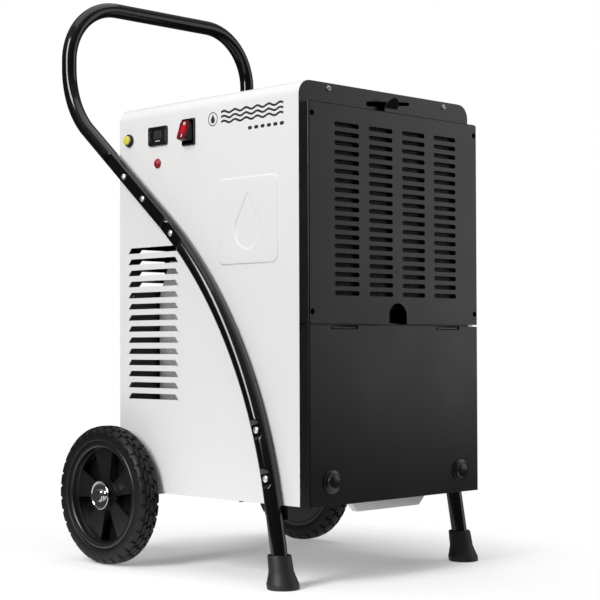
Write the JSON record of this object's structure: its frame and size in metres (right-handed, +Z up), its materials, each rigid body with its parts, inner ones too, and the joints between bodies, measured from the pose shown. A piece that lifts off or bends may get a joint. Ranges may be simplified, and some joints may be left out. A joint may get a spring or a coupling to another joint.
{
  "type": "dehumidifier",
  "caption": "Portable dehumidifier: sheet-metal cabinet on a bent tube frame with two wheels, front tank door, lift-out filter, slide-out tank and side controls.",
  "frame": {"origin": "floor level at the middle of the object's footprint", "axes": "+Z up, the grille and the tank door face -Y, the handle and the wheels are at +Y, the controls are on the -X side"},
  "size_m": [0.5486, 0.6542, 1.0697],
  "materials": {
    "white_paint": "smooth light powder coat",
    "black_paint": "satin black powder coat",
    "tube_paint": "gloss black paint",
    "rubber": "matt black",
    "tyre": "matt black",
    "rim_plastic": "black moulded",
    "tank_plastic": "light grey moulded",
    "black_plastic": "black moulded",
    "dark_filter": "dark frame and mesh",
    "galvanised": "galvanised sheet",
    "zinc": "bright zinc plated",
    "chrome": "polished",
    "aluminium": "mill finish",
    "copper": "bare copper",
    "motor_paint": "satin black",
    "red_plastic": "translucent red",
    "lamp_red": "dark red lens",
    "yellow_plastic": "yellow moulded",
    "window": "grey-green display"
  },
  "bodies": {
    "chassis": {"axle": "zinc", "back_panel": "black_paint", "base_pan": "black_paint", "button_bezel": "black_plastic", "cable_gland": "black_plastic", "compressor": "motor_paint", "condenser": "aluminium", "control_box": "galvanised", "cover_screw_1": "black_plastic", "cover_screw_2": "black_plastic", "cover_screw_3": "black_plastic", "cover_screw_4": "black_plastic", "discharge_pipe": "copper", "drip_tray": "black_plastic", "evaporator": "aluminium", "fan_motor": "motor_paint", "fan_shroud": "galvanised", "foot_left": "rubber", "foot_right": "rubber", "front_plate": "black_paint", "grille_cover": "black_paint", "hour_meter": "black_plastic", "hour_meter_window": "window", "housing": "white_paint", "hub_cap_left": "chrome", "hub_cap_right": "chrome", "indicator_lamp": "lamp_red", "mid_deck": "galvanised", "motor_bracket": "galvanised", "partition": "galvanised", "plate_screw_left": "zinc", "plate_screw_right": "zinc", "power_switch_base": "black_plastic", "suction_pipe": "copper", "tube_frame": "tube_paint", "tube_screw_left_1": "zinc", "tube_screw_left_2": "zinc", "tube_screw_left_3": "zinc", "tube_screw_left_4": "zinc", "tube_screw_left_5": "zinc", "tube_screw_right_1": "zinc", "tube_screw_right_2": "zinc", "tube_screw_right_3": "zinc", "tube_screw_right_4": "zinc", "tube_screw_right_5": "zinc"},
    "left_wheel": {"wheel_rim_left": "rim_plastic", "tyre_left": "tyre"},
    "right_wheel": {"wheel_rim_right": "rim_plastic", "tyre_right": "tyre"},
    "fan": {"fan": "black_plastic"},
    "rocker": {"power_rocker": "red_plastic"},
    "button": {"push_button": "yellow_plastic"},
    "door": {"tank_door": "black_paint"},
    "left_knob": {"door_knob_left": "black_plastic"},
    "right_knob": {"door_knob_right": "black_plastic"},
    "tank": {"tank": "tank_plastic"},
    "tank_handle": {"tank_handle": "black_plastic"},
    "float": {"tank_float": "yellow_plastic"},
    "filter": {"air_filter": "dark_filter"}
  },
  "joints": [
    {"name": "left_wheel_spin", "type": "hinge", "parent": "chassis", "child": "left_wheel", "pos_m": [-0.249, 0.16945, 0.126], "axis": [1, 0, 0], "continuous": true},
    {"name": "right_wheel_spin", "type": "hinge", "parent": "chassis", "child": "right_wheel", "pos_m": [0.249, 0.16945, 0.126], "axis": [1, 0, 0], "continuous": true},
    {"name": "fan_spin", "type": "hinge", "parent": "chassis", "child": "fan", "pos_m": [0, -0.13955, 0.6275], "axis": [0, 1, 0], "continuous": true},
    {"name": "rocker_tilt", "type": "hinge", "parent": "chassis", "child": "rocker", "pos_m": [-0.2225, -0.02115, 0.7745], "axis": [0, -1, 0], "range_deg": [0, 36]},
    {"name": "button_press", "type": "slide", "parent": "chassis", "child": "button", "axis": [1, 0, 0], "range_m": [0, 0.0028], "stiffness_N_per_m": 400},
    {"name": "door_swing", "type": "hinge", "parent": "chassis", "child": "door", "pos_m": [0, -0.31755, 0.43], "axis": [-1, 0, 0], "range_deg": [0, 75]},
    {"name": "left_knob_turn", "type": "hinge", "parent": "door", "child": "left_knob", "pos_m": [-0.165, -0.31805, 0.173], "axis": [0, 1, 0], "range_deg": [0, 90]},
    {"name": "right_knob_turn", "type": "hinge", "parent": "door", "child": "right_knob", "pos_m": [0.165, -0.31805, 0.173], "axis": [0, 1, 0], "range_deg": [0, 90]},
    {"name": "tank_slide", "type": "slide", "parent": "chassis", "child": "tank", "axis": [0, -1, 0], "range_m": [0, 0.185]},
    {"name": "tank_handle_lift", "type": "hinge", "parent": "tank", "child": "tank_handle", "pos_m": [0, -0.18555, 0.262], "axis": [-1, 0, 0], "range_deg": [0, 90]},
    {"name": "float_rise", "type": "slide", "parent": "tank", "child": "float", "axis": [0, 0, 1], "range_m": [0, 0.07]},
    {"name": "filter_lift", "type": "slide", "parent": "chassis", "child": "filter", "axis": [0, 0, 1], "range_m": [0, 0.3]}
  ],
  "couplings": [
    {"joint": "tank_slide", "follows": "door_swing", "m_per_rad": 0.14}
  ]
}
